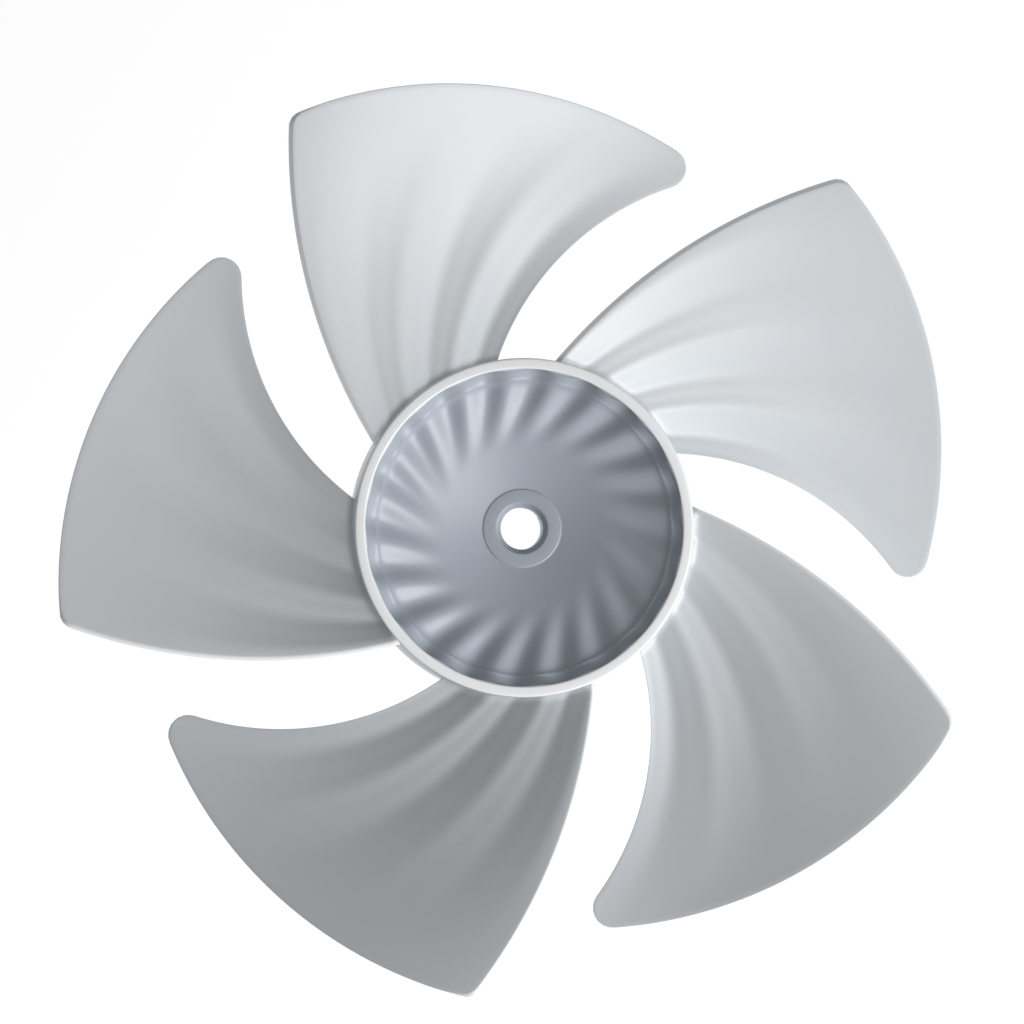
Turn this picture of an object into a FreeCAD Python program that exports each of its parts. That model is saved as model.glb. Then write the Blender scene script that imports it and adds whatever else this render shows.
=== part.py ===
import FreeCAD, Part
import math
import os

from FreeCAD import Vector

# One-piece five-blade axial fan, in mm. Z is the shaft axis, +Z is the front (discharge) side and
# z = 0 is the rear edge of the hub. Angles run counter-clockwise seen from the front, and the first
# blade's root is centred on +X.

# Hub cup and boss
BLADES = 5
HUB_R = 53.7
HUB_H = 42.0
WALL_DRAFT = 0.6
WALL_T = 2.4
RIM_W = 3.2
RIM_CHAMFER = 0.8
BOSS_R = 12.4
BOSS_RISE = 0.7
BORE_R = 6.7
COUNTERSINK_R = 8.2
COUNTERSINK_DEPTH = 2.6

# Dish in the front of the hub: a shallow cone round the boss, a steeper one, then a wall up to the rim
DISH_T = 3.2
DISH_INNER_DEG = 14.0
DISH_OUTER_DEG = 23.0
DISH_BREAK_R = 28.0
FOOT_R = 46.7
FOOT_DEPTH = 5.6

# Swirling flutes: scoops in the dish, which go on past the rim as waves on the front of the blades
FLUTES = 20
FLUTE_PHASE_DEG = 2.4
SCOOP_START_R = 25.0
SCOOP_DEPTH = 1.9
SCOOP_LIFT = 0.3
SCOOP_ROUND_R = 21.0
SCOOP_SWIRL_DEG = 38.0
WAVE_HEIGHT = 0.6
WAVE_END_R = 108.0
WAVE_SWIRL_DEG = 27.5

# Rear of the hub: stiffening ribs, and the slot that takes the shaft's cross pin
RIB_T = 1.8
RIB_REAR_GAP = 12.0
SLOT_W = 4.2
SLOT_DEPTH = 6.0

# Blade outline seen along the shaft: its corner points and the bulge of each edge
ROOT_LEAD_DEG = -24.9
ROOT_TRAIL_DEG = 28.6
TIP_R = 128.5
TIP_DEG = -62.7
CORNER_R = 150.0
CORNER_DEG = -3.8
LEAD_BULGE = 13.0
OUTER_BULGE = 18.9
TRAIL_BULGE = 8.4
TIP_ROUND = 6.5
CORNER_ROUND = 5.0

# Blade sheet
SWEEP_DEG_PER_MM = 0.414
HALF_CHORD_DEG = 28.5
PITCH_ROOT_DEG = 22.0
PITCH_TIP_DEG = 16.5
ROOT_Z = 29.2
TIP_DROP = 7.0
CAMBER = 0.15
EDGE_FLAT = 0.5
BLADE_T_ROOT = 2.6
BLADE_T_TIP = 1.7

# Points that carry the blade's two skins: their spacing, how far they go past the outline, and the
# turn of their rows
FRONT_SPACING = 8.0
FRONT_MARGIN = 3.0
BACK_SPACING = 13.0
BACK_MARGIN = 5.0
GRAIN_DEG = -30.0

UP = Vector(0, 0, 1)
CENTRE = Vector(0, 0, 0)


def polar(r, deg, z=0.0):
    a = math.radians(deg)
    return Vector(r * math.cos(a), r * math.sin(a), z)


def flute_deg(r, swirl_deg):
    """Angle at radius r of the flute line that crosses the rim at FLUTE_PHASE_DEG."""
    return FLUTE_PHASE_DEG - swirl_deg * math.log(r / HUB_R)


def around(shape, count):
    copies = []
    for k in range(count):
        copy = shape.copy()
        copy.rotate(CENTRE, UP, 360.0 * k / count)
        copies.append(copy)
    return copies


def turned(points):
    edges = [Part.makeLine(p, q) for p, q in zip(points, points[1:] + points[:1])]
    return Part.Face(Part.Wire(edges)).revolve(CENTRE, UP, 360.0)


# Blade: a twisted, cambered sheet with waves on its front, trimmed to its outline
def share_out(r):
    return (r - HUB_R) / (CORNER_R - HUB_R)


def sheet_z(r, deg):
    pitch_deg = PITCH_ROOT_DEG + (PITCH_TIP_DEG - PITCH_ROOT_DEG) * share_out(r)
    half_rise = r * math.radians(HALF_CHORD_DEG) * math.tan(math.radians(pitch_deg))
    s = (deg + SWEEP_DEG_PER_MM * (r - HUB_R)) / HALF_CHORD_DEG
    shape = s + CAMBER * (s * s - 1.0) / 2.0 - EDGE_FLAT * (s * s * s - s) / 3.0
    return ROOT_Z - TIP_DROP * share_out(r) + half_rise * shape


def front_z(r, deg):
    fade = min(1.0, max(0.0, (WAVE_END_R - r) / (WAVE_END_R - HUB_R)))
    wave = math.sin(math.radians(FLUTES * (deg - flute_deg(r, WAVE_SWIRL_DEG))))
    return sheet_z(r, deg) + WAVE_HEIGHT * fade * fade * (3.0 - 2.0 * fade) * wave


def back_z(r, deg):
    return sheet_z(r, deg) - BLADE_T_ROOT - (BLADE_T_TIP - BLADE_T_ROOT) * share_out(r)


def below(height, plan, margin, spacing):
    """Everything under the surface z = height(r, deg), over a box round the plan, turned by GRAIN_DEG."""
    straight = plan.copy()
    straight.rotate(CENTRE, UP, -GRAIN_DEG)
    box = straight.BoundBox
    box.enlarge(margin)
    steps_along = math.ceil(box.XLength / spacing)
    steps_across = math.ceil(box.YLength / spacing)
    rows = []
    for i in range(steps_along + 1):
        u = box.XMin + box.XLength * i / steps_along
        row = []
        for j in range(steps_across + 1):
            v = box.YMin + box.YLength * j / steps_across
            r = math.hypot(u, v)
            deg = math.degrees(math.atan2(v, u)) + GRAIN_DEG
            row.append(polar(r, deg, height(max(r, BOSS_R), deg)))
        rows.append(row)
    surface = Part.BSplineSurface()
    surface.interpolate(rows)
    return surface.toShape().extrude(UP * -2.0 * CORNER_R)


def bulged(p, q, bulge):
    """Middle point, centre and radius of the arc from p to q that stands off its chord by bulge."""
    chord = q - p
    mid = (p + q) * 0.5 + Vector(chord.y, -chord.x, 0.0).normalize() * bulge
    circle = Part.Arc(p, mid, q).toShape().Curve
    return mid, circle.Center, circle.Radius


def meet(c1, r1, c2, r2, near):
    """The crossing of two circles that lies nearer to a point."""
    gap = (c2 - c1).Length
    to_foot = (gap * gap + r1 * r1 - r2 * r2) / (2.0 * gap)
    half = math.sqrt(r1 * r1 - to_foot * to_foot)
    towards = (c2 - c1) * (1.0 / gap)
    across = Vector(-towards.y, towards.x, 0.0)
    ends = [c1 + towards * to_foot + across * half, c1 + towards * to_foot - across * half]
    return min(ends, key=lambda p: p.distanceToPoint(near))


def rounding(c1, r1, side, c2, r2, corner, radius):
    """Start, middle and end of a corner's arc; side is -1 if the blade is outside the first circle."""
    centre = meet(c1, r1 - side * radius, c2, r2 - radius, corner)
    start = c1 + (centre - c1).normalize() * r1
    end = c2 + (centre - c2).normalize() * r2
    return start, centre + (corner - centre).normalize() * radius, end


def blade_outline():
    root_r = HUB_R - WALL_T / 2.0
    root_lead = polar(root_r, ROOT_LEAD_DEG)
    root_trail = polar(root_r, ROOT_TRAIL_DEG)
    root_mid = polar(root_r, (ROOT_LEAD_DEG + ROOT_TRAIL_DEG) / 2.0)
    tip = polar(TIP_R, TIP_DEG)
    corner = polar(CORNER_R, CORNER_DEG)
    lead_mid, lead_c, lead_r = bulged(root_lead, tip, -LEAD_BULGE)
    outer_mid, outer_c, outer_r = bulged(tip, corner, OUTER_BULGE)
    trail_mid, trail_c, trail_r = bulged(corner, root_trail, TRAIL_BULGE)
    tip_arc = rounding(lead_c, lead_r, -1.0, outer_c, outer_r, tip, TIP_ROUND)
    corner_arc = rounding(trail_c, trail_r, 1.0, outer_c, outer_r, corner, CORNER_ROUND)
    arcs = [
        (root_lead, lead_mid, tip_arc[0]),
        tip_arc,
        (tip_arc[2], outer_mid, corner_arc[2]),
        corner_arc,
        (corner_arc[0], trail_mid, root_trail),
        (root_trail, root_mid, root_lead),
    ]
    return Part.Wire([Part.Arc(*points).toShape() for points in arcs])


def blade():
    outline = blade_outline()
    prism = Part.Face(outline).extrude(UP * 2.0 * CORNER_R)
    prism.translate(UP * -CORNER_R)
    front = below(front_z, outline, FRONT_MARGIN, FRONT_SPACING)
    back = below(back_z, outline, BACK_MARGIN, BACK_SPACING)
    return prism.common(front).cut(back)


# Hub: a drafted cup closed by the fluted dish, with its boss, ribs, pin slot and bore
def dish_z(r):
    inner = math.tan(math.radians(DISH_INNER_DEG))
    outer = math.tan(math.radians(DISH_OUTER_DEG))
    break_z = HUB_H - FOOT_DEPTH - outer * (FOOT_R - DISH_BREAK_R)
    return break_z + (outer if r > DISH_BREAK_R else inner) * (r - DISH_BREAK_R)


def mean_slope(r1, r2):
    return (dish_z(r2) - dish_z(r1)) / (r2 - r1)


def scoop():
    """A round taper laid along one flute: its point lies just above the dish and it sinks in to the wall."""
    start_deg = flute_deg(SCOOP_START_R, SCOOP_SWIRL_DEG)
    end_deg = flute_deg(FOOT_R, SCOOP_SWIRL_DEG)
    start = polar(SCOOP_START_R, start_deg, dish_z(SCOOP_START_R) + SCOOP_LIFT)
    end = polar(FOOT_R, end_deg, dish_z(FOOT_R) - SCOOP_DEPTH)
    length = (end - start).Length
    along = (end - start).normalize()
    lift = UP - polar(mean_slope(SCOOP_START_R, FOOT_R), (start_deg + end_deg) / 2.0)
    lift = (lift - along * along.dot(lift)).normalize()
    axis = (along * length + lift * SCOOP_ROUND_R).normalize()
    taper = Part.makeCone(0.0, 2.0 * SCOOP_ROUND_R, 2.0 * length, start, axis)
    taper.rotate(CENTRE, UP, -90.0 / FLUTES)
    return taper


def fluted_dish():
    dish = turned([CENTRE, Vector(HUB_R, 0, 0), Vector(HUB_R, 0, dish_z(HUB_R)),
                   Vector(DISH_BREAK_R, 0, dish_z(DISH_BREAK_R)), Vector(0, 0, dish_z(0.0))])
    for taper in around(scoop(), FLUTES):
        dish = dish.cut(taper)
    return dish


def hub():
    rear_r = HUB_R + WALL_DRAFT
    rim_r = HUB_R - RIM_W
    inner_r = HUB_R - WALL_T
    cup = turned([CENTRE, Vector(rear_r, 0, 0), Vector(HUB_R, 0, HUB_H - RIM_CHAMFER),
                  Vector(HUB_R - RIM_CHAMFER, 0, HUB_H), Vector(0, 0, HUB_H)])
    front = turned([CENTRE, Vector(FOOT_R, 0, 0), Vector(FOOT_R, 0, HUB_H - FOOT_DEPTH),
                    Vector(rim_r, 0, HUB_H - RIM_CHAMFER), Vector(rim_r + RIM_CHAMFER, 0, HUB_H),
                    Vector(0, 0, HUB_H)])
    slope = mean_slope(BOSS_R, FOOT_R)
    under_z = dish_z(BOSS_R) - DISH_T - slope * BOSS_R
    rear = turned([CENTRE, Vector(rear_r - WALL_T, 0, 0), Vector(inner_r, 0, under_z + slope * inner_r),
                   Vector(0, 0, under_z)])
    boss_top = dish_z(BOSS_R) + BOSS_RISE
    boss = Part.makeCylinder(BOSS_R, boss_top)
    rib = Part.makeBox(HUB_R, RIB_T, HUB_H, Vector(0, -RIB_T / 2.0, RIB_REAR_GAP))
    body = cup.cut(front.cut(fluted_dish()))
    body = body.cut(rear.cut([boss] + around(rib, BLADES))).fuse(boss)
    sink = Part.makeCone(BORE_R, COUNTERSINK_R, COUNTERSINK_DEPTH, UP * (boss_top - COUNTERSINK_DEPTH))
    slot = Part.makeBox(2.0 * BOSS_R, SLOT_W, SLOT_DEPTH, Vector(-BOSS_R, -SLOT_W / 2.0, 0))
    return body.cut([Part.makeCylinder(BORE_R, HUB_H), sink, slot])


os.makedirs("parts", exist_ok=True)
fan = hub().fuse(around(blade(), BLADES))
fan.Solids[0].exportStep("parts/fan_blade.step")
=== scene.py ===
import math

import bmesh
import bpy
from bpy.props import FloatProperty, FloatVectorProperty, IntProperty, PointerProperty
from mathutils import Matrix, Vector


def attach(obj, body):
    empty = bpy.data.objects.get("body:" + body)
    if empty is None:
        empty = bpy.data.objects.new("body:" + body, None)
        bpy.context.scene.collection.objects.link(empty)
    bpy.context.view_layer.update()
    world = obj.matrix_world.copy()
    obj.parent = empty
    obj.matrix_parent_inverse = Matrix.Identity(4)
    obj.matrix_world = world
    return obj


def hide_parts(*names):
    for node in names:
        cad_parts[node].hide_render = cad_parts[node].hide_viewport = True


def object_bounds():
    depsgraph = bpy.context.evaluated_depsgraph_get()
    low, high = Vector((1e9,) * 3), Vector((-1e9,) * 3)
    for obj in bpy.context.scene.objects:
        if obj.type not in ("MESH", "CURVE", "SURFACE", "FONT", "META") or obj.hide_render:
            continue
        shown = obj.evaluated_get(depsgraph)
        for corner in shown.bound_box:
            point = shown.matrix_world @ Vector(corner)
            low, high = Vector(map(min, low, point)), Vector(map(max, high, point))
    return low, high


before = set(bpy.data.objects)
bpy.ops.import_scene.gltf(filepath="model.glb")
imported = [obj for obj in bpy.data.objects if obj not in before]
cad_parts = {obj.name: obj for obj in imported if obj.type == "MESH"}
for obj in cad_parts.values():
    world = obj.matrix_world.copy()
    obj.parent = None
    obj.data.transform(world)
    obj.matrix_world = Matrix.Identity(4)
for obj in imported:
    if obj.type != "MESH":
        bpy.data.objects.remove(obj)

bl_info = {
    "name": "Moulded fan wheel",
    "version": (1, 0, 0),
    "blender": (4, 5, 0),
    "location": "3D View > Sidebar > Fan wheel",
    "description": "Builds a one-piece moulded fan wheel on its packed solid, and a studio round it",
    "category": "Mesh",
}

CAD_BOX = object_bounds()
# Names of the masks for painted shade in the dish and painted light on the rim and trailing edges
PAINTED_DISH_SHADE = "painted_dish_shade"
PAINTED_EDGE_LIGHT = "painted_edge_light"
MM = 0.001
UP = Vector((0.0, 0.0, 1.0))
CENTRE = Vector((0.0, 0.0, 0.0))
FULL_TURN = 2.0 * math.pi

# Steps of the mesh along and across a blade's skins, round the hub in each flute, and round the boss's rear
SKIN_STEPS = 68
STEPS_PER_FLUTE = 16
BOSS_STEPS = 96


def length(mm, name, description):
    return FloatProperty(name=name, description=description, default=mm * MM, unit="LENGTH", precision=5)


def angle(degrees, name, description):
    return FloatProperty(name=name, description=description, default=math.radians(degrees), subtype="ANGLE")


def ratio(value, name, description):
    return FloatProperty(name=name, description=description, default=value)


def linear(hex_colour):
    """Linear RGB of an sRGB hex colour."""
    channels = [int(hex_colour[i:i + 2], 16) / 255.0 for i in (1, 3, 5)]
    return [c / 12.92 if c <= 0.04045 else ((c + 0.055) / 1.055) ** 2.4 for c in channels]


def colour(hex_colour, name, description):
    return FloatVectorProperty(name=name, description=description, default=linear(hex_colour),
                               subtype="COLOR", size=3, min=0.0, max=1.0)


class FanHubSizes(bpy.types.PropertyGroup):
    """The cup in the middle of the wheel, its front dish, boss and rear."""

    radius: length(53.7, "Radius", "Outside of the cup at its front rim")
    height: length(42.0, "Height", "From the rear edge to the front rim")
    draft: length(0.6, "Draft", "How much wider the cup is at its rear edge")
    wall: length(2.4, "Wall", "Thickness of the cup's wall")
    rim_width: length(3.2, "Rim width", "Width of the flat front rim")
    rim_round: length(0.7, "Rim round", "Rounding of the rim's outer edge")
    foot_radius: length(46.7, "Foot radius", "Where the wall inside the rim meets the dish")
    foot_depth: length(5.6, "Foot depth", "Depth of that line below the rim")
    foot_blend: length(2.0, "Foot blend", "Size of the soft blend between the wall and the dish")
    bead_width: length(0.9, "Bead width", "Width of the fine bead on that line")
    bead_height: length(0.2, "Bead height", "Height of the fine bead")
    dish_inner: angle(13.5, "Dish slope at boss", "Slope of the dish beside the boss")
    dish_outer: angle(29.0, "Dish slope at foot", "Slope of the dish at the foot of the wall")
    dish_thickness: length(3.2, "Dish thickness", "Thickness of the dish beside the boss")
    boss_radius: length(12.4, "Boss radius", "Outside of the boss")
    boss_rise: length(0.7, "Boss rise", "Height of the boss above the dish")
    bore_radius: length(6.7, "Bore radius", "Radius of the shaft hole")
    sink_radius: length(8.2, "Countersink radius", "Radius of the hole's funnel at the front")
    sink_depth: length(2.6, "Countersink depth", "Depth of that funnel")
    slot_width: length(4.2, "Slot width", "Width of the cross-pin slot in the rear of the boss")
    slot_depth: length(6.0, "Slot depth", "Depth of the cross-pin slot")
    rib_width: length(1.8, "Rib width", "Thickness of the ribs behind the dish")
    rib_gap: length(12.0, "Rib gap", "From the rear edge of the cup to the ribs")


class FanBladeSizes(bpy.types.PropertyGroup):
    """The outline, twist and thickness of a blade, and how many there are."""

    count: IntProperty(name="Blades", description="How many blades the wheel has", default=5, min=2)
    root_lead: angle(-24.9, "Root, leading", "Where the leading edge leaves the hub")
    root_trail: angle(28.6, "Root, trailing", "Where the trailing edge leaves the hub")
    tip_radius: length(128.5, "Tip radius", "Distance of the leading tip from the shaft")
    tip_angle: angle(-62.7, "Tip angle", "How far round the leading tip is")
    corner_radius: length(150.0, "Corner radius", "Distance of the trailing corner from the shaft")
    corner_angle: angle(-3.8, "Corner angle", "How far round the trailing corner is")
    lead_bulge: length(13.0, "Leading hollow", "How far the leading edge bows in from its chord")
    outer_bulge: length(18.9, "Outer bow", "How far the outer edge bows out from its chord")
    trail_bulge: length(8.4, "Trailing bow", "How far the trailing edge bows out from its chord")
    tip_round: length(6.5, "Tip round", "Rounding of the leading tip")
    corner_round: length(5.0, "Corner round", "Rounding of the trailing corner")
    sweep: ratio(7.2257, "Sweep", "Forward swing of the chord's middle, in radians per metre of radius")
    half_chord: angle(28.5, "Half chord", "Half the angle that the root's chord spans")
    pitch_root: angle(22.0, "Pitch at root", "Pitch of the blade beside the hub")
    pitch_tip: angle(16.5, "Pitch at tip", "Pitch of the blade at its outer edge")
    root_z: length(29.2, "Root height", "Height of the root's middle above the hub's rear edge")
    tip_drop: length(7.0, "Tip drop", "How far the outer edge's middle lies below the root's")
    camber: ratio(0.15, "Camber", "How much the chord is hollowed")
    edge_flat: ratio(0.5, "Edge flattening", "How much the pitch eases off towards both edges")
    thickness_root: length(2.6, "Thickness at root", "Thickness of the blade beside the hub")
    thickness_tip: length(1.7, "Thickness at tip", "Thickness of the blade at its outer edge")
    thickness_trail: length(1.3, "Trailing thickness", "Thickness of the blade at its trailing edge")
    trail_taper: length(10.0, "Trailing taper", "Width over which the blade thins to its trailing edge")
    trail_lip: length(1.5, "Trailing lip", "Width of the side face that shows along the trailing edge")
    lead_lip: length(0.7, "Leading lip", "How far the leading edge's side face leans in under the blade")
    edge_round: length(0.3, "Edge rounding", "Rounding of the blade's edges")
    root_fillet: length(2.2, "Root fillet", "Fillet between blade and hub")


class FanFluteSizes(bpy.types.PropertyGroup):
    """The swirling flutes that run through the dish and out on to the blades."""

    count: IntProperty(name="Flutes", description="How many flutes go round the wheel", default=20, min=1)
    phase: angle(2.4, "Phase", "Angle of a flute's rising side at the rim")
    dish_start: length(25.0, "Dish start", "Radius where the flutes begin in the dish")
    dish_depth: length(2.6, "Dish depth", "Depth of the flutes at the foot of the wall")
    dish_swirl: angle(56.0, "Dish swirl", "How far a flute in the dish would turn between rim and shaft")
    wave_phase: angle(5.5, "Wave phase", "Angle at which a wave's rising side leaves the hub")
    wave_height: length(0.9, "Wave height", "Height of the waves on the blades beside the hub")
    wave_hold: length(75.0, "Wave hold", "Radius to which the waves on the blades keep their height")
    wave_end: length(137.0, "Wave end", "Radius where the waves on the blades have died away")
    wave_drift: angle(4.0, "Wave drift", "How far the waves turn to the leading edge on their way out")


class FanFinish(bpy.types.PropertyGroup):
    """Colours and surfaces of the wheel and of the floor under it."""

    plastic: colour("#B9BDC0", "Plastic", "Light cool grey of the blades")
    plastic_cloud: colour("#B5B9BD", "Plastic, clouded", "Grey of the faint clouds where the melt flowed")
    # Painted shade: the dish's deeper grey stands for the light that does not come through it from behind
    plastic_painted_shade: colour("#949AA3", "Plastic, deep", "Deeper grey of the dish, with the dark cup behind it")
    # Painted light: the rim and trailing edges are paler as if lit through their thin plastic
    plastic_painted_light: colour("#DFE1E2", "Plastic, rim", "Pale grey of the thin rim and the trailing edges")
    roughness: ratio(0.4, "Roughness", "Roughness of the plastic between its clouds")
    roughness_cloud: ratio(0.45, "Roughness, clouded", "Roughness of the plastic in its clouds")
    cloud_size: length(24.0, "Cloud size", "Width of the clouds in the plastic")
    ripple_size: length(1.6, "Ripple size", "Width of the fine ripples in the plastic's skin")
    ripple_depth: length(0.05, "Ripple depth", "Depth of those ripples")
    floor: colour("#F4F4F4", "Floor", "Pale floor of the studio")
    floor_glow: ratio(0.75, "Floor glow", "Strength of the floor's own light")


class FanStudio(bpy.types.PropertyGroup):
    """Where the camera and the lamp stand, and how strong the light is."""

    camera_distance: length(4500.0, "Camera distance", "From the wheel to the camera")
    camera_tilt_x: angle(-2.2, "Tilt across", "Lean of the camera across the picture")
    camera_tilt_y: angle(-0.7, "Tilt along", "Lean of the camera up the picture")
    camera_roll: angle(51.68, "Roll", "Turn of the picture round the shaft")
    aim_height: length(26.0, "Aim height", "Height of the point on the shaft that the camera looks at")
    frame_width: length(325.2, "Frame width", "Width of the picture at the blades")
    shift_x: ratio(-0.0101, "Shift across", "Offset of the shaft from the picture's middle")
    shift_y: ratio(0.0158, "Shift along", "Offset of the shaft from the picture's middle")
    key_azimuth: angle(-34.0, "Key azimuth", "Direction of the lamp, from the picture's right to its top")
    key_elevation: angle(32.0, "Key elevation", "Height of the lamp above the floor, as an angle")
    key_distance: length(1500.0, "Key distance", "From the wheel to the lamp")
    key_size: length(1200.0, "Key size", "Side of the square lamp")
    key_power: FloatProperty(name="Key power", description="Power of the lamp", default=32.0, unit="POWER")
    air_glow: ratio(0.35, "Air glow", "Strength of the even light from all round")
    floor_reach: length(4000.0, "Floor reach", "From the shaft to the floor's edges")


class FanSettings(bpy.types.PropertyGroup):
    """All settings of the wheel."""

    hub: PointerProperty(type=FanHubSizes)
    blade: PointerProperty(type=FanBladeSizes)
    flute: PointerProperty(type=FanFluteSizes)
    finish: PointerProperty(type=FanFinish)
    studio: PointerProperty(type=FanStudio)


def polar(r, a, z=0.0):
    return Vector((r * math.cos(a), r * math.sin(a), z))


def smooth_step(t):
    t = min(1.0, max(0.0, t))
    return t * t * (3.0 - 2.0 * t)


class FluteLines:
    """Height of the flutes over the dish and over the blades."""

    def __init__(self, flute, hub):
        self.flute = flute
        self.hub = hub

    def in_dish(self, r, a):
        """Flutes that leave the rim straight inwards and swirl more and more towards the shaft."""
        line = self.flute.phase + self.flute.dish_swirl * (1.0 - r / self.hub.radius) ** 2
        share = (r - self.flute.dish_start) / (self.hub.foot_radius - self.flute.dish_start)
        wave = 0.5 - 0.5 * math.sin(self.flute.count * (a - line))
        return -self.flute.dish_depth * smooth_step(share) * wave

    def carve(self, place, r):
        """Sink a point of the dish down into its flute, and a point of the wall more and more outwards."""
        up_wall = (place.z - self.hub.height + self.hub.foot_depth) / self.hub.foot_depth
        # Flutes turn outwards over the lower half of the wall and run out over its upper half.
        lean = smooth_step(2.0 * up_wall)
        run_out = smooth_step(2.0 * up_wall - 1.0)
        down_share = 1.0 - 0.5 * lean
        out_share = 0.8 * lean
        depth = self.in_dish(r, math.atan2(place.y, place.x)) * (1.0 - run_out)
        outward = Vector((place.x, place.y, 0.0)).normalized()
        place += depth * (UP * down_share - outward * out_share)

    def on_blade(self, r, root_angle):
        """Waves with flat flanks, by the angle at which their line leaves the hub."""
        left = (self.flute.wave_end - r) / (self.flute.wave_end - self.flute.wave_hold)
        turn = self.flute.count * (root_angle - self.flute.wave_phase)
        return self.flute.wave_height * smooth_step(left) * (math.sin(turn) - math.sin(3.0 * turn) / 9.0)


class Arc:
    """A circular arc in plan, from one point to another the short way round its centre."""

    def __init__(self, centre, start, end):
        self.centre = centre
        self.radius = (start - centre).length
        self.first = math.atan2(start.y - centre.y, start.x - centre.x)
        last = math.atan2(end.y - centre.y, end.x - centre.x)
        self.turn = (last - self.first + math.pi) % FULL_TURN - math.pi
        self.length = abs(self.turn) * self.radius

    def at(self, t):
        return self.centre + polar(self.radius, self.first + self.turn * t)


def along(arcs, t):
    """The point at share t of the length of a row of arcs."""
    reach = t * sum(arc.length for arc in arcs)
    for arc in arcs[:-1]:
        if reach <= arc.length:
            return arc.at(reach / arc.length)
        reach -= arc.length
    return arcs[-1].at(min(1.0, reach / arcs[-1].length))


def bowed(p, q, bulge):
    """Centre and radius of the circle through p and q whose arc stands off the chord by bulge."""
    chord = q - p
    radius = (chord.length_squared / 4.0 + bulge * bulge) / (2.0 * abs(bulge))
    side = Vector((chord.y, -chord.x, 0.0)).normalized()
    return (p + q) / 2.0 + side * (bulge - math.copysign(radius, bulge)), radius


def crossing(c1, r1, c2, r2, near):
    """The crossing of two circles that lies nearer to a point."""
    gap = (c2 - c1).length
    foot = (gap * gap + r1 * r1 - r2 * r2) / (2.0 * gap)
    towards = (c2 - c1) / gap
    across = Vector((-towards.y, towards.x, 0.0)) * math.sqrt(r1 * r1 - foot * foot)
    ends = [c1 + towards * foot + across, c1 + towards * foot - across]
    return min(ends, key=lambda p: (p - near).length)


class Corner:
    """The rounding between two edges of the blade: its centre, and where it starts, peaks and ends."""

    def __init__(self, c1, r1, side, c2, r2, point, radius):
        self.centre = crossing(c1, r1 - side * radius, c2, r2 - radius, point)
        self.start = c1 + (self.centre - c1).normalized() * r1
        self.end = c2 + (self.centre - c2).normalized() * r2
        self.peak = self.centre + (point - self.centre).normalized() * radius


def drawn_in(gap, lip):
    """How far in a skin's point moves, by its gap from an edge, so that the side face leans by a lip."""
    reach = 8.0 * lip
    return lip * smooth_step(1.0 - gap / reach)


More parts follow.
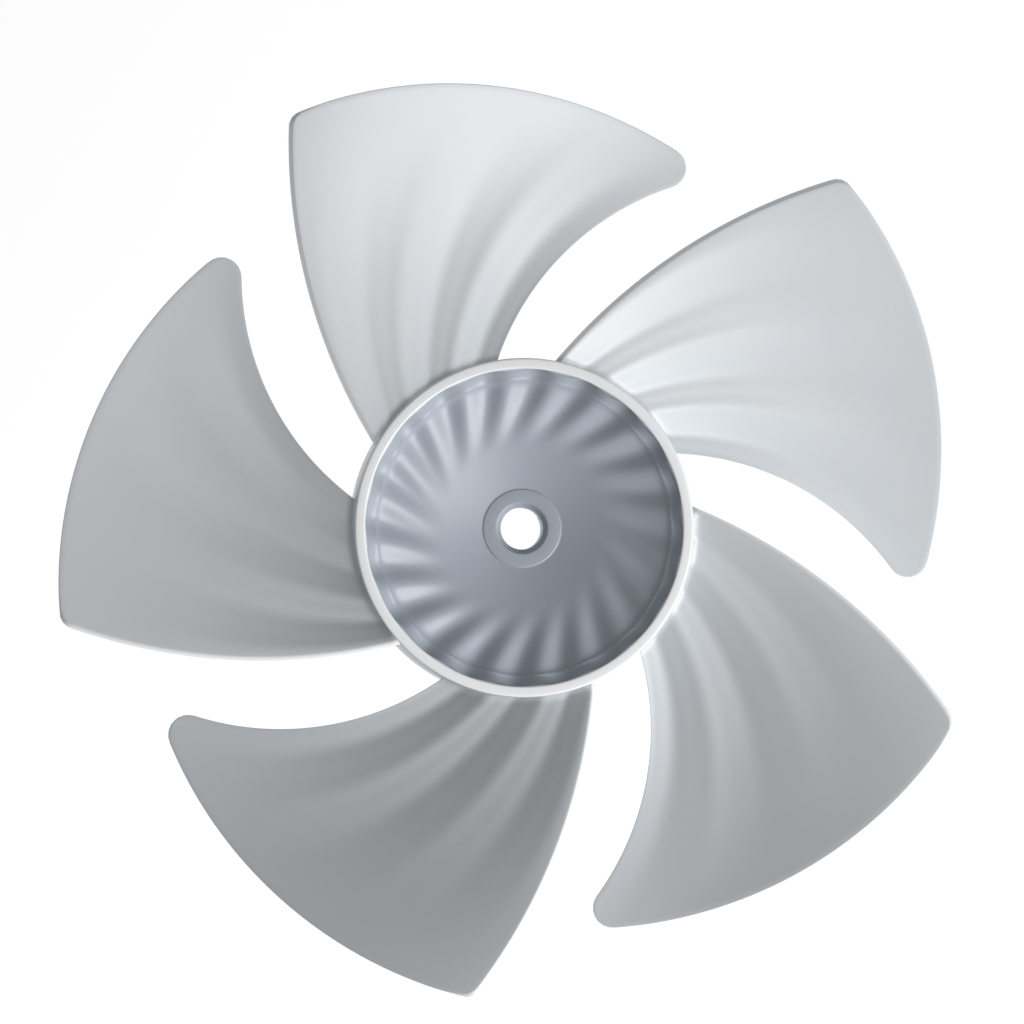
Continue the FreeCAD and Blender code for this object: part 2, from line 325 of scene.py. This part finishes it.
class BladeForm:
    """Plan and height of one blade, and the mapping of a unit square on to it."""

    def __init__(self, blade, hub, flutes):
        self.blade = blade
        self.hub = hub
        self.flutes = flutes
        root_r = hub.radius - hub.wall / 2.0
        root_lead = polar(root_r, blade.root_lead)
        root_trail = polar(root_r, blade.root_trail)
        tip = polar(blade.tip_radius, blade.tip_angle)
        corner = polar(blade.corner_radius, blade.corner_angle)
        self.lead_c, self.lead_r = bowed(root_lead, tip, -blade.lead_bulge)
        self.outer_c, self.outer_r = bowed(tip, corner, blade.outer_bulge)
        self.trail_c, self.trail_r = bowed(corner, root_trail, blade.trail_bulge)
        self.tip = Corner(self.lead_c, self.lead_r, -1.0, self.outer_c, self.outer_r, tip, blade.tip_round)
        self.corner = Corner(self.trail_c, self.trail_r, 1.0, self.outer_c, self.outer_r, corner,
                             blade.corner_round)
        self.root_side = [Arc(CENTRE, root_lead, root_trail)]
        self.lead_side = [Arc(self.lead_c, root_lead, self.tip.start),
                          Arc(self.tip.centre, self.tip.start, self.tip.peak)]
        self.trail_side = [Arc(self.trail_c, root_trail, self.corner.start),
                           Arc(self.corner.centre, self.corner.start, self.corner.peak)]
        self.outer_side = [Arc(self.tip.centre, self.tip.peak, self.tip.end),
                           Arc(self.outer_c, self.tip.end, self.corner.end),
                           Arc(self.corner.centre, self.corner.end, self.corner.peak)]

    def plan(self, u, v):
        """Point of the outline's patch: u runs from root to outer edge, v from leading to trailing edge."""
        lead = along(self.lead_side, u)
        trail = along(self.trail_side, u)
        root = along(self.root_side, v)
        outer = along(self.outer_side, v)
        root_line = along(self.root_side, 0.0).lerp(along(self.root_side, 1.0), v)
        outer_line = along(self.outer_side, 0.0).lerp(along(self.outer_side, 1.0), v)
        return lead.lerp(trail, v) + root.lerp(outer, u) - root_line.lerp(outer_line, u)

    def trail_gap(self, p):
        """Distance of a point, in plan, from the trailing edge."""
        return self.trail_r - math.hypot(p.x - self.trail_c.x, p.y - self.trail_c.y)

    def front_plan(self, p):
        """The front's point over a point of the patch, drawn in along the trailing edge."""
        inward = (self.trail_c - p).normalized()
        return p + inward * drawn_in(self.trail_gap(p), self.blade.trail_lip)

    def back_plan(self, p):
        """The back's point under a point of the patch, drawn in along the leading edge."""
        inward = p - self.lead_c
        return p + inward.normalized() * drawn_in(inward.length - self.lead_r, self.blade.lead_lip)

    def share_out(self, r):
        """Share of the way out: 0 at the hub, 1 at the trailing corner."""
        return (r - self.hub.radius) / (self.blade.corner_radius - self.hub.radius)

    def chord_share(self, r, a):
        """Place across the blade: -1 at the leading edge, 1 at the trailing edge."""
        return (a + self.blade.sweep * (r - self.hub.radius)) / self.blade.half_chord

    def sheet_z(self, r, a):
        """Height of the plain sheet: twisted by its pitch, cambered, and flatter towards both edges."""
        b = self.blade
        pitch = b.pitch_root + (b.pitch_tip - b.pitch_root) * self.share_out(r)
        half_rise = r * b.half_chord * math.tan(pitch)
        s = self.chord_share(r, a)
        shape = s + b.camber * (s * s - 1.0) / 2.0 - b.edge_flat * (s * s * s - s) / 3.0
        return b.root_z - b.tip_drop * self.share_out(r) + half_rise * shape

    def flare(self, r):
        """How far the fillet at the hub stands off the blade's skins."""
        near = min(1.0, max(0.0, 1.0 - (r - self.hub.radius) / self.blade.root_fillet))
        return self.blade.root_fillet * (1.0 - math.sqrt(1.0 - near * near))

    def waved_z(self, p, u, v):
        """Height of the waved sheet: its waves run along the patch like the blade's edges."""
        b = self.blade
        root_angle = b.root_lead + (b.root_trail - b.root_lead) * v + self.flutes.flute.wave_drift * u
        return self.sheet_z(p.length, math.atan2(p.y, p.x)) + self.flutes.on_blade(p.length, root_angle)

    def front(self, u, v):
        """Point of the front skin, which stays below the rim where it meets the hub."""
        p = self.front_plan(self.plan(u, v))
        out = max(0.0, p.length - self.hub.radius)
        below_rim = self.hub.height - 2.0 * self.hub.rim_round + out / 2.0
        return Vector((p.x, p.y, min(below_rim, self.waved_z(p, u, v) + self.flare(p.length))))

    def back(self, u, v):
        """Point of the back skin, which follows the waves and nears the front at the trailing edge."""
        b = self.blade
        p = self.back_plan(self.plan(u, v))
        r = p.length
        thickness = b.thickness_root + (b.thickness_tip - b.thickness_root) * self.share_out(r)
        gap = self.trail_gap(p)
        thinned = thickness + (b.thickness_trail - thickness) * smooth_step(1.0 - gap / b.trail_taper)
        return Vector((p.x, p.y, self.waved_z(p, u, v) - thinned - self.flare(r)))


def edges_at(verts):
    """Edges at some vertices, each once and in the vertices' order."""
    return list(dict.fromkeys(edge for vert in verts for edge in vert.link_edges))


def faces_at(verts):
    """Faces at some vertices, each once and in the vertices' order."""
    return list(dict.fromkeys(face for vert in verts for face in vert.link_faces))


def new_since(bm, before):
    """Vertices that the mesh has gained."""
    return [vert for vert in bm.verts if vert not in before]


def root_dense(t):
    """Share of the way out, with the steps drawn together at the root's fillet."""
    crowding = 0.3
    return t - crowding * math.sin(math.pi * t) / math.pi


def add_blade(bm, blade, hub, flutes):
    """One blade: a grid laid on its front, one on its back, side faces between them, and rounded edges."""
    form = BladeForm(blade, hub, flutes)
    before = set(bm.verts)
    for skin in (form.front, form.back):
        grid = bmesh.ops.create_grid(bm, x_segments=SKIN_STEPS, y_segments=SKIN_STEPS, size=0.5)
        for vert in grid["verts"]:
            vert.co = skin(root_dense(vert.co.y + 0.5), vert.co.x + 0.5)
    skins = new_since(bm, before)
    rims = [edge for edge in edges_at(skins) if edge.is_boundary]
    bmesh.ops.bridge_loops(bm, edges=rims)
    bmesh.ops.recalc_face_normals(bm, faces=faces_at(skins))
    bmesh.ops.bevel(bm, geom=rims, offset=blade.edge_round, offset_type="OFFSET", segments=3, profile=0.5,
                    affect="EDGES", material=-1)
    made = new_since(bm, before)
    painted_edge_light = bm.verts.layers.float[PAINTED_EDGE_LIGHT]
    # Painted light along the trailing edge ends at this many lip widths from it.
    pale_end = 1.2
    for vert in made:
        vert[painted_edge_light] = smooth_step(pale_end - form.trail_gap(vert.co) / blade.trail_lip)
    return made


def spun_copies(bm, verts, count):
    """Copies of closed shells round the shaft, count in all."""
    bmesh.ops.spin(bm, geom=verts + edges_at(verts) + faces_at(verts), cent=CENTRE, axis=UP,
                   angle=FULL_TURN * (count - 1) / count, steps=count - 1, use_duplicate=True)


def dish_height(hub, r):
    """Height of the plain dish: an arc whose slope grows from the boss to the foot of the wall."""
    inner = math.sin(hub.dish_inner)
    outer = math.sin(hub.dish_outer)
    arc_r = (hub.foot_radius - hub.boss_radius) / (outer - inner)
    centre_r = hub.foot_radius - arc_r * outer
    foot_drop = math.sqrt(arc_r ** 2 - (hub.foot_radius - centre_r) ** 2)
    drop = math.sqrt(arc_r ** 2 - (r - centre_r) ** 2)
    return hub.height - hub.foot_depth + (foot_drop - drop)


def bowl_height(hub, mouth_r, r):
    """Height of the dish and of the wall round it, blended at its foot, with the fine bead there."""
    dish = dish_height(hub, r)
    wall = hub.height - hub.foot_depth * (mouth_r - r) / (mouth_r - hub.foot_radius)
    near = max(0.0, 1.0 - abs(wall - dish) / hub.foot_blend)
    across = 2.0 * (r - hub.foot_radius) / hub.bead_width
    bead = hub.bead_height * max(0.0, 1.0 - across * across)
    return max(dish, wall) + near * near * hub.foot_blend / 4.0 + bead


def bowl_rings(hub, mouth_r):
    """Radii of the rings that shape the bowl, from its mouth to the boss, drawn together over the bead."""
    steps = 52
    bead_steps = 6
    bead_room = hub.bead_width * 0.75
    even = [mouth_r + (hub.boss_radius - mouth_r) * i / steps for i in range(1, steps)]
    clear = [r for r in even if abs(r - hub.foot_radius) > bead_room]
    bead = [hub.foot_radius + hub.bead_width * (i / bead_steps - 0.5) for i in range(bead_steps + 1)]
    return sorted(clear + bead, reverse=True)


def under_height(hub, r):
    """Height of the cone behind the dish."""
    at_boss = dish_height(hub, hub.boss_radius)
    slope = (dish_height(hub, hub.foot_radius) - at_boss) / (hub.foot_radius - hub.boss_radius)
    return at_boss - hub.dish_thickness + slope * (r - hub.boss_radius)


def add_profile(bm, corners):
    """Closed section in the XZ plane; each corner is its radius, height and rounding."""
    verts = [bm.verts.new((r, 0.0, z)) for r, z, _ in corners]
    for a, b in zip(verts, verts[1:] + verts[:1]):
        bm.edges.new((a, b))
    for vert, (_, _, rounding) in zip(verts, corners):
        if rounding:
            bmesh.ops.bevel(bm, geom=[vert], offset=rounding, offset_type="OFFSET", segments=5,
                            profile=0.5, affect="VERTICES", material=-1)


def add_hub(bm, hub, flutes):
    """The cup with its dish and boss, spun from a section and then fluted."""
    rear_r = hub.radius + hub.draft
    dish_at_boss = dish_height(hub, hub.boss_radius)
    boss_top = dish_at_boss + hub.boss_rise
    inner_r = hub.radius - hub.wall
    mouth_r = hub.radius - hub.rim_width
    mouth_round = hub.rim_round * 0.6
    rear_round = 0.5 * MM
    boss_foot_fillet = 0.25 * MM
    boss_round = 0.3 * MM
    sink_round = 0.4 * MM
    rear_boss_fillet = 1.0 * MM
    rear_wall_fillet = 1.5 * MM
    dish = [(r, bowl_height(hub, mouth_r, r), 0.0) for r in bowl_rings(hub, mouth_r)]
    corners = [
        (rear_r, 0.0, rear_round),
        (hub.radius, hub.height, hub.rim_round),
        (mouth_r, hub.height, mouth_round),
    ] + dish + [
        (hub.boss_radius, dish_at_boss, boss_foot_fillet),
        (hub.boss_radius, boss_top, boss_round),
        (hub.sink_radius, boss_top, boss_round),
        (hub.bore_radius, boss_top - hub.sink_depth, sink_round),
        (hub.bore_radius, hub.slot_depth, 0.0),
        (hub.boss_radius, hub.slot_depth, 0.0),
        (hub.boss_radius, under_height(hub, hub.boss_radius), rear_boss_fillet),
        (inner_r, under_height(hub, inner_r), rear_wall_fillet),
        (rear_r - hub.wall, 0.0, rear_round),
    ]
    add_profile(bm, corners)
    bmesh.ops.spin(bm, geom=bm.verts[:] + bm.edges[:], cent=CENTRE, axis=UP, angle=FULL_TURN,
                   steps=flutes.flute.count * STEPS_PER_FLUTE, use_merge=True)
    painted_dish_shade = bm.verts.layers.float[PAINTED_DISH_SHADE]
    painted_edge_light = bm.verts.layers.float[PAINTED_EDGE_LIGHT]
    # A level inside the dish's thickness parts its front from its rear.
    parting = hub.dish_thickness * 0.3
    for vert in bm.verts:
        r = math.hypot(vert.co.x, vert.co.y)
        in_front = vert.co.z > under_height(hub, r) + parting
        # Painted light on the top of the rim, as if lit through its thin plastic
        vert[painted_edge_light] = smooth_step((vert.co.z - hub.height) / hub.rim_round + 1.0)
        # Painted shade over the front of the dish, which no light reaches from behind
        if in_front and r < mouth_r:
            vert[painted_dish_shade] = 1.0
            if hub.boss_radius < r:
                flutes.carve(vert.co, r)


def add_boss_rear(bm, hub):
    """The two halves of the boss on each side of the cross-pin slot."""
    before = set(bm.verts)
    overlap = 0.2 * MM
    soft = 0.4 * MM
    add_profile(bm, [(hub.bore_radius, 0.0, soft), (hub.boss_radius, 0.0, soft),
                     (hub.boss_radius, hub.slot_depth + overlap, 0.0),
                     (hub.bore_radius, hub.slot_depth + overlap, 0.0)])
    section = new_since(bm, before)
    bmesh.ops.spin(bm, geom=section + edges_at(section), cent=CENTRE, axis=UP, angle=FULL_TURN,
                   steps=BOSS_STEPS, use_merge=True)
    ring = new_since(bm, before)
    slot_side = (0.0, hub.slot_width / 2.0, 0.0)
    bmesh.ops.bisect_plane(bm, geom=ring + edges_at(ring) + faces_at(ring), plane_co=slot_side,
                           plane_no=(0.0, 1.0, 0.0), clear_inner=True)
    half = new_since(bm, before)
    rims = [edge for edge in edges_at(half) if edge.is_boundary]
    bmesh.ops.holes_fill(bm, edges=rims, sides=0)
    spun_copies(bm, half, 2)


def add_ribs(bm, hub, count):
    """Thin ribs behind the dish, from the boss to the wall of the cup."""
    end_overlap = 0.8 * MM
    top_overlap = 0.1 * MM
    tolerance = 0.001 * MM
    lower_round = hub.rib_width * 0.35
    inner = hub.boss_radius - end_overlap
    outer = hub.radius - hub.wall + end_overlap
    size = Vector((outer - inner, hub.rib_width, hub.height - hub.rib_gap))
    middle = Vector(((inner + outer) / 2.0, 0.0, hub.rib_gap + size.z / 2.0))
    place = Matrix.Translation(middle) @ Matrix.Diagonal(size.to_4d())
    rib = bmesh.ops.create_cube(bm, size=1.0, matrix=place)["verts"]
    for vert in rib:
        if vert.co.z > middle.z:
            vert.co.z = under_height(hub, vert.co.x) + top_overlap
    lower = [edge for edge in edges_at(rib)
             if all(vert.co.z < hub.rib_gap + tolerance for vert in edge.verts)
             and abs(edge.verts[0].co.x - edge.verts[1].co.x) > size.x / 2.0]
    before = set(bm.verts) - set(rib)
    bmesh.ops.bevel(bm, geom=lower, offset=lower_round, offset_type="OFFSET", segments=4, profile=0.5,
                    affect="EDGES", material=-1)
    spun_copies(bm, new_since(bm, before), count)


def add_node(tree, kind, settings=None, links=None, **inputs):
    """A node with its settings, its input values, and links from (input name, output socket) pairs."""
    node = tree.nodes.new(kind)
    for name, value in (settings or {}).items():
        setattr(node, name, value)
    for name, value in inputs.items():
        node.inputs[name.replace("_", " ")].default_value = value
    for name, socket in links or []:
        tree.links.new(socket, node.inputs[name])
    return node


def styrene_plastic(finish):
    """Styrene-acrylonitrile, injection moulded in a satin mould."""
    # To the eye: a light grey with a soft, even gloss. The base colour holds painted shade in the dish,
    # where no light comes through from behind, and painted light on the thin rim and trailing edges.
    # Faint clouds show where the melt flowed, and the skin ripples a little under a grazing light.
    material = bpy.data.materials.new("moulded_styrene_plastic")
    material.use_nodes = True
    tree = material.node_tree
    shader = tree.nodes["Principled BSDF"]
    shader.inputs["IOR"].default_value = 1.57
    place = add_node(tree, "ShaderNodeTexCoord").outputs["Object"]
    clouds = add_node(tree, "ShaderNodeTexNoise", links=[("Vector", place)], Scale=1.0 / finish.cloud_size,
                      Detail=1.0)
    tint = add_node(tree, "ShaderNodeMix", {"data_type": "RGBA"}, [("Factor", clouds.outputs["Fac"])])
    tint.inputs["A"].default_value = (*finish.plastic, 1.0)
    tint.inputs["B"].default_value = (*finish.plastic_cloud, 1.0)
    base = tint.outputs["Result"]
    # Mix painted shade into the dish and painted light on to the rim and trailing edges
    for tone, shade in ((PAINTED_DISH_SHADE, finish.plastic_painted_shade), (PAINTED_EDGE_LIGHT, finish.plastic_painted_light)):
        share = add_node(tree, "ShaderNodeAttribute", {"attribute_name": tone}).outputs["Fac"]
        mix = add_node(tree, "ShaderNodeMix", {"data_type": "RGBA"}, [("Factor", share), ("A", base)])
        mix.inputs["B"].default_value = (*shade, 1.0)
        base = mix.outputs["Result"]
    tree.links.new(base, shader.inputs["Base Color"])
    haze = add_node(tree, "ShaderNodeMapRange", links=[("Value", clouds.outputs["Fac"])],
                    To_Min=finish.roughness, To_Max=finish.roughness_cloud)
    tree.links.new(haze.outputs["Result"], shader.inputs["Roughness"])
    skin = add_node(tree, "ShaderNodeTexNoise", links=[("Vector", place)], Scale=1.0 / finish.ripple_size,
                    Detail=2.0)
    bump = add_node(tree, "ShaderNodeBump", links=[("Height", skin.outputs["Fac"])], Strength=0.05,
                    Distance=finish.ripple_depth)
    tree.links.new(bump.outputs["Normal"], shader.inputs["Normal"])
    return material


def light_table(finish):
    """Opal acrylic, sanded matt and lit from below."""
    # To the eye: an even white floor. The sheet itself is darker, so most of its white is its own light and
    # shadows on it stay faint.
    sheet_share = 0.4
    material = bpy.data.materials.new("sanded_opal_acrylic")
    material.use_nodes = True
    shader = material.node_tree.nodes["Principled BSDF"]
    shader.inputs["Base Color"].default_value = (*(sheet_share * Vector(finish.floor)), 1.0)
    shader.inputs["Emission Color"].default_value = (*finish.floor, 1.0)
    shader.inputs["Emission Strength"].default_value = finish.floor_glow
    shader.inputs["Roughness"].default_value = 0.9
    shader.inputs["Specular IOR Level"].default_value = 0.1
    return material


class FAN_OT_moulding(bpy.types.Operator):
    """Build the one-piece wheel: hub, dish, boss, ribs and blades"""

    bl_idname = "fan.moulding"
    bl_label = "Moulded wheel"

    def execute(self, context):
        fan = context.scene.fan_wheel
        flutes = FluteLines(fan.flute, fan.hub)
        bm = bmesh.new()
        bm.verts.layers.float.new(PAINTED_DISH_SHADE)
        bm.verts.layers.float.new(PAINTED_EDGE_LIGHT)
        add_hub(bm, fan.hub, flutes)
        add_boss_rear(bm, fan.hub)
        add_ribs(bm, fan.hub, fan.blade.count)
        blade = add_blade(bm, fan.blade, fan.hub, flutes)
        spun_copies(bm, blade, fan.blade.count)
        bmesh.ops.recalc_face_normals(bm, faces=bm.faces)
        for face in bm.faces:
            face.smooth = True
        mesh = bpy.data.meshes.new("fan_wheel_moulding")
        bm.to_mesh(mesh)
        bm.free()
        piece = bpy.data.objects.new("fan_wheel_moulding", mesh)
        context.scene.collection.objects.link(piece)
        piece.data.materials.append(styrene_plastic(fan.finish))
        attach(piece, "root")
        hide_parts("fan_blade")
        return {"FINISHED"}


class FAN_OT_stage(bpy.types.Operator):
    """Lay the pale floor, set the light and the camera"""

    bl_idname = "fan.stage"
    bl_label = "Studio"

    def execute(self, context):
        scene = context.scene
        fan = scene.fan_wheel
        self.add_floor(scene, fan)
        self.add_air(scene, fan.studio)
        self.add_key_lamp(scene, fan.studio)
        self.add_camera(scene, fan.studio)
        scene.view_settings.view_transform = "Standard"
        return {"FINISHED"}

    def add_floor(self, scene, fan):
        """The flat floor that the hub's rear edge lies on."""
        bm = bmesh.new()
        bmesh.ops.create_grid(bm, x_segments=1, y_segments=1, size=fan.studio.floor_reach)
        mesh = bpy.data.meshes.new("studio_floor")
        bm.to_mesh(mesh)
        bm.free()
        floor = bpy.data.objects.new("studio_floor", mesh)
        floor.location.z = CAD_BOX[0][2]
        floor.data.materials.append(light_table(fan.finish))
        scene.collection.objects.link(floor)

    def add_air(self, scene, studio):
        """Even white light from all round."""
        world = bpy.data.worlds.new("studio_air")
        world.use_nodes = True
        background = world.node_tree.nodes["Background"]
        background.inputs["Color"].default_value = (1.0, 1.0, 1.0, 1.0)
        background.inputs["Strength"].default_value = studio.air_glow
        scene.world = world

    def add_key_lamp(self, scene, studio):
        """A square soft lamp that casts no shadow, placed by its direction in the picture."""
        data = bpy.data.lights.new("key_softbox", "AREA")
        data.shape = "SQUARE"
        data.size = studio.key_size
        data.energy = studio.key_power
        data.use_shadow = False
        lamp = bpy.data.objects.new("key_softbox", data)
        turn = studio.key_azimuth - studio.camera_roll
        out = polar(math.cos(studio.key_elevation), turn, math.sin(studio.key_elevation))
        lamp.location = out * studio.key_distance
        lamp.rotation_euler = out.to_track_quat("Z", "Y").to_euler()
        scene.collection.objects.link(lamp)

    def add_camera(self, scene, studio):
        """The camera, which looks down on the wheel with a slight lean."""
        data = bpy.data.cameras.new("camera")
        camera = bpy.data.objects.new("camera", data)
        lean = Vector((math.tan(studio.camera_tilt_x), math.tan(studio.camera_tilt_y), 1.0)).normalized()
        across = Vector((0.0, 1.0, 0.0)).cross(lean).normalized()
        upward = lean.cross(across)
        turn = Matrix((across, upward, lean)).transposed()
        turn = Matrix.Rotation(-studio.camera_roll, 3, "Z") @ turn
        place = UP * studio.aim_height + turn @ (UP * studio.camera_distance)
        camera.matrix_world = Matrix.LocRotScale(place, turn, None)
        data.sensor_width = 36.0
        data.lens = data.sensor_width * studio.camera_distance / studio.frame_width
        data.shift_x = studio.shift_x
        data.shift_y = studio.shift_y
        scene.collection.objects.link(camera)
        scene.camera = camera


class FAN_PT_panel(bpy.types.Panel):
    """Buttons that build the wheel and its studio"""

    bl_idname = "FAN_PT_panel"
    bl_label = "Fan wheel"
    bl_space_type = "VIEW_3D"
    bl_region_type = "UI"
    bl_category = "Fan wheel"

    def draw(self, context):
        for operator in OPERATORS:
            self.layout.operator(operator.bl_idname)


OPERATORS = (FAN_OT_moulding, FAN_OT_stage)
GROUPS = (FanHubSizes, FanBladeSizes, FanFluteSizes, FanFinish, FanStudio, FanSettings)


def register():
    for cls in GROUPS + OPERATORS + (FAN_PT_panel,):
        bpy.utils.register_class(cls)
    bpy.types.Scene.fan_wheel = PointerProperty(type=FanSettings)


def unregister():
    del bpy.types.Scene.fan_wheel
    for cls in reversed(GROUPS + OPERATORS + (FAN_PT_panel,)):
        bpy.utils.unregister_class(cls)


def main():
    register()
    bpy.ops.fan.moulding()
    bpy.ops.fan.stage()


if __name__ == "__main__":
    main()
